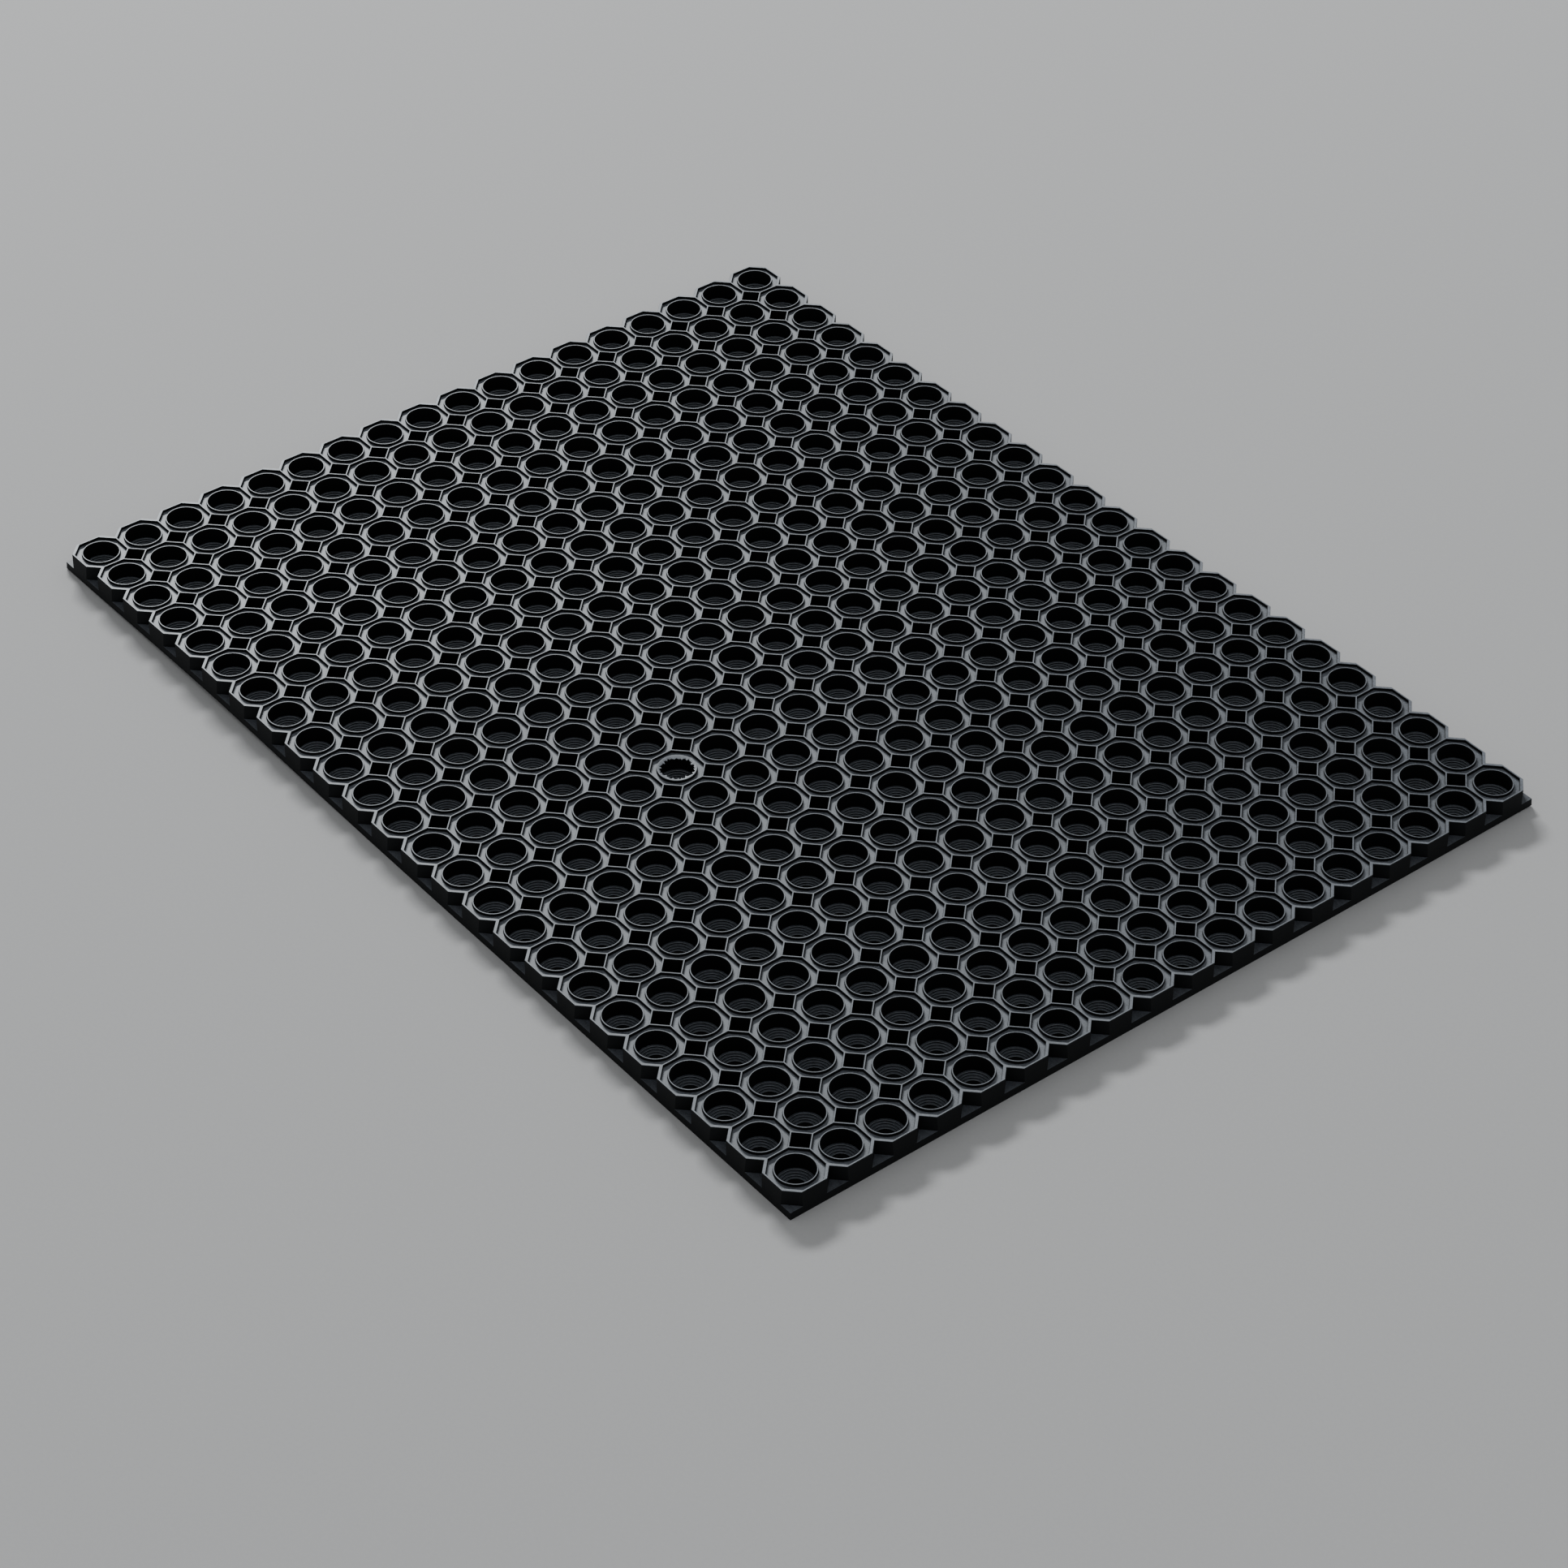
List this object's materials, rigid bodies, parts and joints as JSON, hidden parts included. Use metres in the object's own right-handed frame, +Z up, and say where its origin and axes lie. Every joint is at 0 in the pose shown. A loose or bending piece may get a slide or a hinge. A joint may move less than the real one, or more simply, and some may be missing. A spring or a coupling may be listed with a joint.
{
  "type": "rubber ring door mat",
  "caption": "Rectangular moulded rubber ring mat with round bores, square drain holes between them and a low flange around the edge, hinged in bands so that it rolls up.",
  "frame": {"origin": "on the floor under the centre of the mat", "axes": "+X along the long side, in the direction in which the bands follow each other from the first to the last; +Y across the mat; +Z up out of the tread"},
  "size_m": [1, 0.751, 0.02],
  "materials": {
    "rubber": "matte moulded, greyish sheen on the upward faces"
  },
  "bodies": {
    "band_01": {"ring_band_01": "rubber"},
    "band_02": {"ring_band_02": "rubber"},
    "band_03": {"ring_band_03": "rubber"},
    "band_04": {"ring_band_04": "rubber"},
    "band_05": {"ring_band_05": "rubber"},
    "band_06": {"ring_band_06": "rubber"},
    "band_07": {"ring_band_07": "rubber"},
    "band_08": {"ring_band_08": "rubber"},
    "band_09": {"ring_band_09": "rubber"},
    "band_10": {"ring_band_10": "rubber"},
    "band_11": {"ring_band_11": "rubber"},
    "band_12": {"ring_band_12": "rubber"}
  },
  "joints": [
    {"name": "bend_01_02", "type": "hinge", "parent": "band_01", "child": "band_02", "pos_m": [-0.415, 0, 0.02], "axis": [0, -1, 0], "range_deg": [0, 25], "stiffness_Nm_per_rad": 5},
    {"name": "bend_02_03", "type": "hinge", "parent": "band_02", "child": "band_03", "pos_m": [-0.332, 0, 0.02], "axis": [0, -1, 0], "range_deg": [0, 25], "stiffness_Nm_per_rad": 5},
    {"name": "bend_03_04", "type": "hinge", "parent": "band_03", "child": "band_04", "pos_m": [-0.249, 0, 0.02], "axis": [0, -1, 0], "range_deg": [0, 25], "stiffness_Nm_per_rad": 5},
    {"name": "bend_04_05", "type": "hinge", "parent": "band_04", "child": "band_05", "pos_m": [-0.166, 0, 0.02], "axis": [0, -1, 0], "range_deg": [0, 25], "stiffness_Nm_per_rad": 5},
    {"name": "bend_05_06", "type": "hinge", "parent": "band_05", "child": "band_06", "pos_m": [-0.083, 0, 0.02], "axis": [0, -1, 0], "range_deg": [0, 25], "stiffness_Nm_per_rad": 5},
    {"name": "bend_06_07", "type": "hinge", "parent": "band_06", "child": "band_07", "pos_m": [0, 0, 0.02], "axis": [0, -1, 0], "range_deg": [0, 25], "stiffness_Nm_per_rad": 5},
    {"name": "bend_07_08", "type": "hinge", "parent": "band_07", "child": "band_08", "pos_m": [0.083, 0, 0.02], "axis": [0, -1, 0], "range_deg": [0, 25], "stiffness_Nm_per_rad": 5},
    {"name": "bend_08_09", "type": "hinge", "parent": "band_08", "child": "band_09", "pos_m": [0.166, 0, 0.02], "axis": [0, -1, 0], "range_deg": [0, 25], "stiffness_Nm_per_rad": 5},
    {"name": "bend_09_10", "type": "hinge", "parent": "band_09", "child": "band_10", "pos_m": [0.249, 0, 0.02], "axis": [0, -1, 0], "range_deg": [0, 25], "stiffness_Nm_per_rad": 5},
    {"name": "bend_10_11", "type": "hinge", "parent": "band_10", "child": "band_11", "pos_m": [0.332, 0, 0.02], "axis": [0, -1, 0], "range_deg": [0, 25], "stiffness_Nm_per_rad": 5},
    {"name": "bend_11_12", "type": "hinge", "parent": "band_11", "child": "band_12", "pos_m": [0.415, 0, 0.02], "axis": [0, -1, 0], "range_deg": [0, 25], "stiffness_Nm_per_rad": 5}
  ],
  "couplings": [
    {"joint": "bend_02_03", "follows": "bend_01_02", "ratio": 1},
    {"joint": "bend_03_04", "follows": "bend_01_02", "ratio": 1},
    {"joint": "bend_04_05", "follows": "bend_01_02", "ratio": 1},
    {"joint": "bend_05_06", "follows": "bend_01_02", "ratio": 1},
    {"joint": "bend_06_07", "follows": "bend_01_02", "ratio": 1},
    {"joint": "bend_07_08", "follows": "bend_01_02", "ratio": 1},
    {"joint": "bend_08_09", "follows": "bend_01_02", "ratio": 1},
    {"joint": "bend_09_10", "follows": "bend_01_02", "ratio": 1},
    {"joint": "bend_10_11", "follows": "bend_01_02", "ratio": 1},
    {"joint": "bend_11_12", "follows": "bend_01_02", "ratio": 1}
  ]
}
